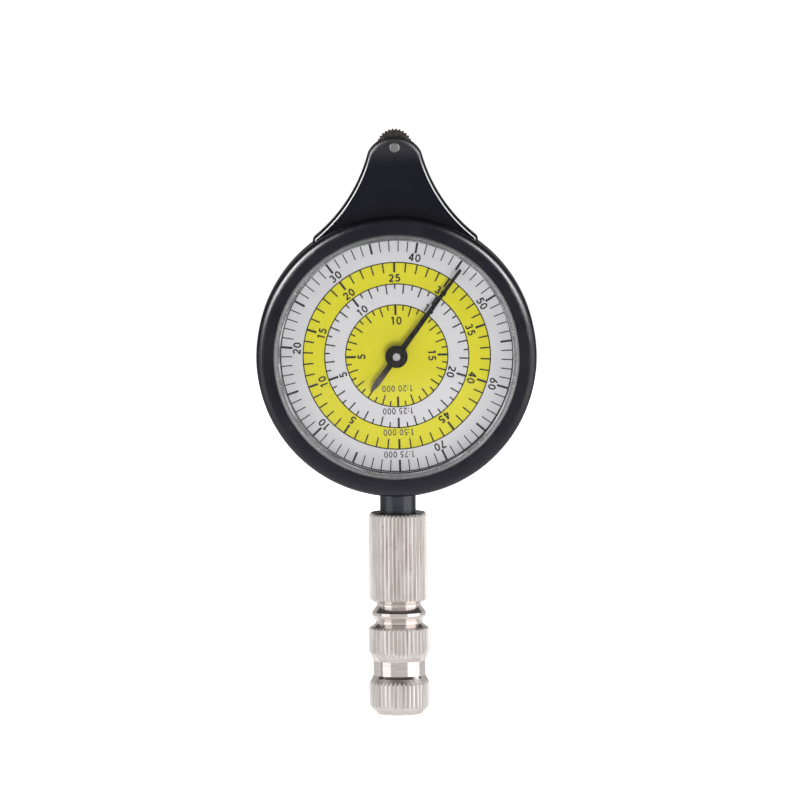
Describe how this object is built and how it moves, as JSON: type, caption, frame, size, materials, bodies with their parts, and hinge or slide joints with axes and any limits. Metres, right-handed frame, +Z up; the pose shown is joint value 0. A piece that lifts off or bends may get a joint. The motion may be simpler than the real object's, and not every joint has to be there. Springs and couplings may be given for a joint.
{
  "type": "map measuring wheel",
  "caption": "Map measuring wheel: a toothed tracing wheel drives a pointer over a ringed dial in a round black case, on a knurled metal handle.",
  "frame": {"origin": "centre of the flat end face of the handle, on the handle's axis", "axes": "+Z up the handle to the tracing wheel, the front dial faces -Y, +X to the right of someone who reads the front dial"},
  "size_m": [0.049, 0.0132, 0.1028],
  "materials": {
    "case_black": "satin",
    "stem_black": "satin",
    "dial_print": "satin",
    "window_clear": "gloss",
    "pointer_black": "satin",
    "nickel": "satin",
    "brass": "satin",
    "steel": "satin",
    "wheel_dark": "satin"
  },
  "bodies": {
    "case": {"bush_front": "brass", "bush_rear": "brass", "case_front": "case_black", "case_rear": "case_black", "crystal_front": "window_clear", "crystal_rear": "window_clear", "dial_front": "dial_print", "dial_rear": "dial_print", "dowel_lower_left": "steel", "dowel_lower_right": "steel", "dowel_upper_left": "steel", "dowel_upper_right": "steel", "first_arbor": "steel", "grip_sleeve": "nickel", "grip_tail": "nickel", "second_arbor": "steel", "stem": "stem_black", "wheel_axle": "steel"},
    "wheel": {"tracing_wheel": "wheel_dark", "wheel_pinion": "steel"},
    "first_cluster": {"first_gear": "brass", "first_pinion": "steel"},
    "second_cluster": {"second_gear": "brass", "second_pinion": "steel"},
    "pointers": {"centre_arbor": "steel", "centre_gear": "brass", "pointer_front": "pointer_black", "pointer_rear": "pointer_black"}
  },
  "joints": [
    {"name": "pointer_spin", "type": "hinge", "parent": "case", "child": "pointers", "pos_m": [0, 0, 0.06315], "axis": [0, 1, 0], "continuous": true},
    {"name": "wheel_spin", "type": "hinge", "parent": "case", "child": "wheel", "pos_m": [0, 0, 0.09965], "axis": [0, 1, 0], "continuous": true},
    {"name": "first_spin", "type": "hinge", "parent": "case", "child": "first_cluster", "pos_m": [0, 0, 0.09265], "axis": [0, 1, 0], "continuous": true},
    {"name": "second_spin", "type": "hinge", "parent": "case", "child": "second_cluster", "pos_m": [0, 0, 0.08065], "axis": [0, 1, 0], "continuous": true}
  ],
  "couplings": [
    {"joint": "wheel_spin", "follows": "pointer_spin", "ratio": -50},
    {"joint": "first_spin", "follows": "pointer_spin", "ratio": 20},
    {"joint": "second_spin", "follows": "pointer_spin", "ratio": -4}
  ]
}
